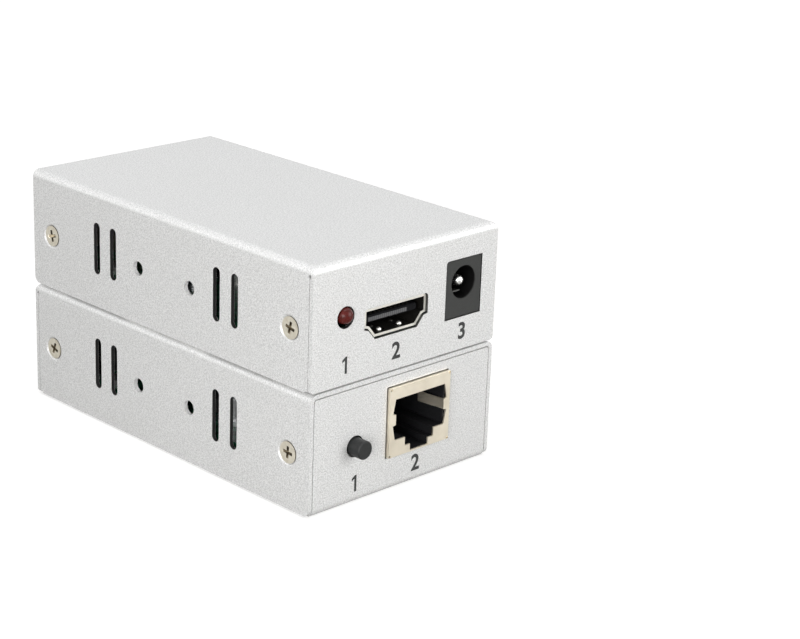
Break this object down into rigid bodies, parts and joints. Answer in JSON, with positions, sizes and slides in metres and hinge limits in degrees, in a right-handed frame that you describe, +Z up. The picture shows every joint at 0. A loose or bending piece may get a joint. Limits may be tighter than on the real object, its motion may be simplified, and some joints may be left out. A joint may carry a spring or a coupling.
{
  "type": "hdmi extender",
  "caption": "Transmitter and receiver of an HDMI-over-network-cable extender in equal folded metal cases, stacked, with picture, network and DC sockets, status lights and a push button.",
  "frame": {"origin": "centre of the transmitter's bottom face, on the surface that the pair stands on", "axes": "+Z up; +Y along the cases, away from the end that holds the transmitter's network socket and the receiver's picture socket; +X across them, to the right seen from that end"},
  "size_m": [0.046, 0.0849, 0.0465],
  "materials": {
    "case_silver": "fine speckled satin silver",
    "screw_nickel": "warm nickel plate",
    "board_tin": "tin plate",
    "shield_tin": "bright nickel plate",
    "contact_gold": "gold flash",
    "moulded_black": "moulded",
    "chip_black": "fine matt",
    "jack_grey": "moulded satin",
    "button_grey": "moulded satin",
    "board_green": "solder mask",
    "lens_red": "diffused lens",
    "can_aluminium": "satin can",
    "ferrite_grey": "matt ferrite",
    "ceramic_tan": "matt ceramic with tinned ends"
  },
  "bodies": {
    "transmitter": {"tx_cover": "case_silver", "tx_base": "case_silver", "tx_cover_screws": "screw_nickel", "tx_standoffs": "board_tin", "tx_circuit_board": "board_green", "tx_board_screws": "board_tin", "tx_hdmi_shell": "shield_tin", "tx_hdmi_insulator": "moulded_black", "tx_hdmi_contacts": "contact_gold", "tx_network_shield": "shield_tin", "tx_network_housing": "moulded_black", "tx_network_contacts": "contact_gold", "tx_power_housing": "jack_grey", "tx_power_pin": "board_tin", "tx_power_terminals": "board_tin", "tx_status_light": "lens_red", "tx_light_leads": "board_tin", "tx_switch_housing": "moulded_black", "tx_switch_bracket": "board_tin", "tx_switch_dome": "board_tin", "tx_switch_pins": "board_tin", "tx_main_chip": "chip_black", "tx_driver_chip": "chip_black", "tx_regulator": "chip_black", "tx_inductor": "ferrite_grey", "tx_capacitors": "can_aluminium", "tx_crystal": "board_tin", "tx_line_chokes": "ferrite_grey", "tx_small_parts": "ceramic_tan"},
    "push_button": {"tx_push_button": "button_grey"},
    "receiver": {"rx_cover": "case_silver", "rx_base": "case_silver", "rx_cover_screws": "screw_nickel", "rx_standoffs": "board_tin", "rx_circuit_board": "board_green", "rx_board_screws": "board_tin", "rx_hdmi_shell": "shield_tin", "rx_hdmi_insulator": "moulded_black", "rx_hdmi_contacts": "contact_gold", "rx_network_shield": "shield_tin", "rx_network_housing": "moulded_black", "rx_network_contacts": "contact_gold", "rx_power_housing": "jack_grey", "rx_power_pin": "board_tin", "rx_power_terminals": "board_tin", "rx_status_light": "lens_red", "rx_light_leads": "board_tin", "rx_main_chip": "chip_black", "rx_driver_chip": "chip_black", "rx_regulator": "chip_black", "rx_inductor": "ferrite_grey", "rx_capacitors": "can_aluminium", "rx_crystal": "board_tin", "rx_line_chokes": "ferrite_grey", "rx_small_parts": "ceramic_tan"}
  },
  "joints": [
    {"name": "receiver_lift", "type": "slide", "parent": "transmitter", "child": "receiver", "axis": [0, 0, 1], "range_m": [0, 0.04]},
    {"name": "button_press", "type": "slide", "parent": "transmitter", "child": "push_button", "axis": [0, 1, 0], "range_m": [0, 0.00025], "stiffness_N_per_m": 6000}
  ]
}
